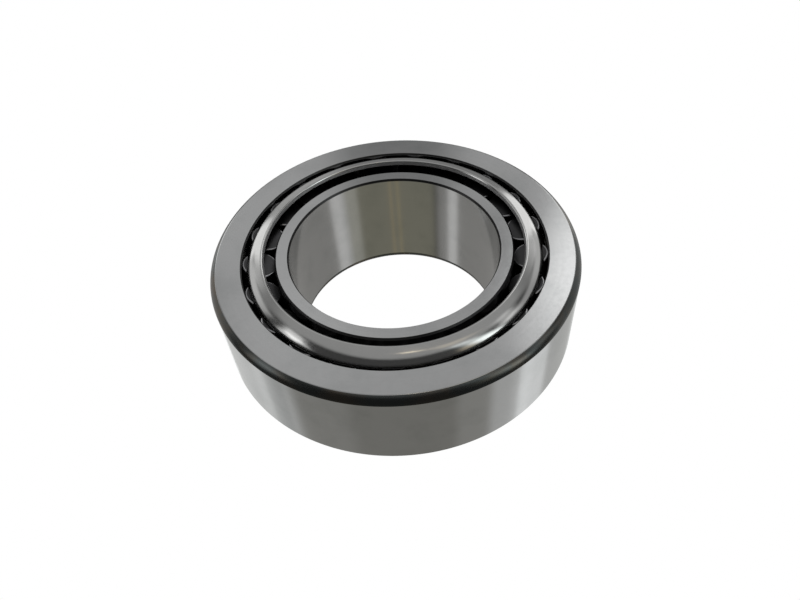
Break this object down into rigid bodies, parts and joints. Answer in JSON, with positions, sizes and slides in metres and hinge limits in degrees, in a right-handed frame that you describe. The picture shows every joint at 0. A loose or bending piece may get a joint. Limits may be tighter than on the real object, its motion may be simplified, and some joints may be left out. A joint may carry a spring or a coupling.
{
  "type": "tapered roller bearing",
  "caption": "Single-row tapered roller bearing: conical-bore outer ring, ribbed inner ring and tapered rollers held in a pressed steel cage.",
  "frame": {"origin": "centre of the cone's back face, on the bearing axis", "axes": "+Z along the bearing axis, from the cone's back face to the cup's back face; X and Y are radial"},
  "size_m": [0.14, 0.14, 0.0484],
  "materials": {
    "ring_steel": "ground satin, dark unground corners",
    "cage_steel": "pressed sheet steel, satin",
    "roller_steel": "finely ground and polished"
  },
  "bodies": {
    "cup": {"cup": "ring_steel"},
    "cone": {"cone": "ring_steel"},
    "cage": {"cage": "cage_steel"},
    "roller_01": {"roller_01": "roller_steel"},
    "roller_02": {"roller_02": "roller_steel"},
    "roller_03": {"roller_03": "roller_steel"},
    "roller_04": {"roller_04": "roller_steel"},
    "roller_05": {"roller_05": "roller_steel"},
    "roller_06": {"roller_06": "roller_steel"},
    "roller_07": {"roller_07": "roller_steel"},
    "roller_08": {"roller_08": "roller_steel"},
    "roller_09": {"roller_09": "roller_steel"},
    "roller_10": {"roller_10": "roller_steel"},
    "roller_11": {"roller_11": "roller_steel"},
    "roller_12": {"roller_12": "roller_steel"},
    "roller_13": {"roller_13": "roller_steel"},
    "roller_14": {"roller_14": "roller_steel"},
    "roller_15": {"roller_15": "roller_steel"},
    "roller_16": {"roller_16": "roller_steel"},
    "roller_17": {"roller_17": "roller_steel"},
    "roller_18": {"roller_18": "roller_steel"},
    "roller_19": {"roller_19": "roller_steel"},
    "roller_20": {"roller_20": "roller_steel"},
    "roller_21": {"roller_21": "roller_steel"}
  },
  "joints": [
    {"name": "cone_spin", "type": "hinge", "parent": "cup", "child": "cone", "pos_m": [0, 0, 0], "axis": [0, 0, 1], "continuous": true},
    {"name": "cage_spin", "type": "hinge", "parent": "cup", "child": "cage", "pos_m": [0, 0, 0], "axis": [0, 0, 1], "continuous": true},
    {"name": "roller_01_spin", "type": "hinge", "parent": "cage", "child": "roller_01", "pos_m": [0.05868, -0.00856, 0.01096], "axis": [-0.2391, 0.0349, 0.9704], "continuous": true},
    {"name": "roller_02_spin", "type": "hinge", "parent": "cage", "child": "roller_02", "pos_m": [0.0586, 0.00912, 0.01096], "axis": [-0.2388, -0.0371, 0.9704], "continuous": true},
    {"name": "roller_03_spin", "type": "hinge", "parent": "cage", "child": "roller_03", "pos_m": [0.05331, 0.02598, 0.01096], "axis": [-0.2172, -0.1059, 0.9704], "continuous": true},
    {"name": "roller_04_spin", "type": "hinge", "parent": "cage", "child": "roller_04", "pos_m": [0.04328, 0.04054, 0.01096], "axis": [-0.1764, -0.1652, 0.9704], "continuous": true},
    {"name": "roller_05_spin", "type": "hinge", "parent": "cage", "child": "roller_05", "pos_m": [0.02941, 0.0515, 0.01096], "axis": [-0.1198, -0.2098, 0.9704], "continuous": true},
    {"name": "roller_06_spin", "type": "hinge", "parent": "cage", "child": "roller_06", "pos_m": [0.01292, 0.05788, 0.01096], "axis": [-0.0527, -0.2358, 0.9704], "continuous": true},
    {"name": "roller_07_spin", "type": "hinge", "parent": "cage", "child": "roller_07", "pos_m": [-0.00471, 0.05911, 0.01096], "axis": [0.0192, -0.2409, 0.9704], "continuous": true},
    {"name": "roller_08_spin", "type": "hinge", "parent": "cage", "child": "roller_08", "pos_m": [-0.02193, 0.0551, 0.01096], "axis": [0.0893, -0.2245, 0.9704], "continuous": true},
    {"name": "roller_09_spin", "type": "hinge", "parent": "cage", "child": "roller_09", "pos_m": [-0.03719, 0.04619, 0.01096], "axis": [0.1516, -0.1882, 0.9704], "continuous": true},
    {"name": "roller_10_spin", "type": "hinge", "parent": "cage", "child": "roller_10", "pos_m": [-0.04915, 0.03317, 0.01096], "axis": [0.2003, -0.1352, 0.9704], "continuous": true},
    {"name": "roller_11_spin", "type": "hinge", "parent": "cage", "child": "roller_11", "pos_m": [-0.05675, 0.01721, 0.01096], "axis": [0.2312, -0.0701, 0.9704], "continuous": true},
    {"name": "roller_12_spin", "type": "hinge", "parent": "cage", "child": "roller_12", "pos_m": [-0.0593, -0.00028, 0.01096], "axis": [0.2416, 0.0011, 0.9704], "continuous": true},
    {"name": "roller_13_spin", "type": "hinge", "parent": "cage", "child": "roller_13", "pos_m": [-0.05658, -0.01775, 0.01096], "axis": [0.2306, 0.0723, 0.9704], "continuous": true},
    {"name": "roller_14_spin", "type": "hinge", "parent": "cage", "child": "roller_14", "pos_m": [-0.04884, -0.03364, 0.01096], "axis": [0.199, 0.1371, 0.9704], "continuous": true},
    {"name": "roller_15_spin", "type": "hinge", "parent": "cage", "child": "roller_15", "pos_m": [-0.03675, -0.04654, 0.01096], "axis": [0.1498, 0.1896, 0.9704], "continuous": true},
    {"name": "roller_16_spin", "type": "hinge", "parent": "cage", "child": "roller_16", "pos_m": [-0.0214, -0.0553, 0.01096], "axis": [0.0872, 0.2254, 0.9704], "continuous": true},
    {"name": "roller_17_spin", "type": "hinge", "parent": "cage", "child": "roller_17", "pos_m": [-0.00415, -0.05916, 0.01096], "axis": [0.0169, 0.241, 0.9704], "continuous": true},
    {"name": "roller_18_spin", "type": "hinge", "parent": "cage", "child": "roller_18", "pos_m": [0.01347, -0.05775, 0.01096], "axis": [-0.0549, 0.2353, 0.9704], "continuous": true},
    {"name": "roller_19_spin", "type": "hinge", "parent": "cage", "child": "roller_19", "pos_m": [0.02989, -0.05122, 0.01096], "axis": [-0.1218, 0.2087, 0.9704], "continuous": true},
    {"name": "roller_20_spin", "type": "hinge", "parent": "cage", "child": "roller_20", "pos_m": [0.04366, -0.04013, 0.01096], "axis": [-0.1779, 0.1635, 0.9704], "continuous": true},
    {"name": "roller_21_spin", "type": "hinge", "parent": "cage", "child": "roller_21", "pos_m": [0.05355, -0.02548, 0.01096], "axis": [-0.2182, 0.1038, 0.9704], "continuous": true}
  ],
  "couplings": [
    {"joint": "cage_spin", "follows": "cone_spin", "ratio": 0.43515},
    {"joint": "roller_01_spin", "follows": "cone_spin", "ratio": -3.6776},
    {"joint": "roller_02_spin", "follows": "cone_spin", "ratio": -3.6776},
    {"joint": "roller_03_spin", "follows": "cone_spin", "ratio": -3.6776},
    {"joint": "roller_04_spin", "follows": "cone_spin", "ratio": -3.6776},
    {"joint": "roller_05_spin", "follows": "cone_spin", "ratio": -3.6776},
    {"joint": "roller_06_spin", "follows": "cone_spin", "ratio": -3.6776},
    {"joint": "roller_07_spin", "follows": "cone_spin", "ratio": -3.6776},
    {"joint": "roller_08_spin", "follows": "cone_spin", "ratio": -3.6776},
    {"joint": "roller_09_spin", "follows": "cone_spin", "ratio": -3.6776},
    {"joint": "roller_10_spin", "follows": "cone_spin", "ratio": -3.6776},
    {"joint": "roller_11_spin", "follows": "cone_spin", "ratio": -3.6776},
    {"joint": "roller_12_spin", "follows": "cone_spin", "ratio": -3.6776},
    {"joint": "roller_13_spin", "follows": "cone_spin", "ratio": -3.6776},
    {"joint": "roller_14_spin", "follows": "cone_spin", "ratio": -3.6776},
    {"joint": "roller_15_spin", "follows": "cone_spin", "ratio": -3.6776},
    {"joint": "roller_16_spin", "follows": "cone_spin", "ratio": -3.6776},
    {"joint": "roller_17_spin", "follows": "cone_spin", "ratio": -3.6776},
    {"joint": "roller_18_spin", "follows": "cone_spin", "ratio": -3.6776},
    {"joint": "roller_19_spin", "follows": "cone_spin", "ratio": -3.6776},
    {"joint": "roller_20_spin", "follows": "cone_spin", "ratio": -3.6776},
    {"joint": "roller_21_spin", "follows": "cone_spin", "ratio": -3.6776}
  ]
}
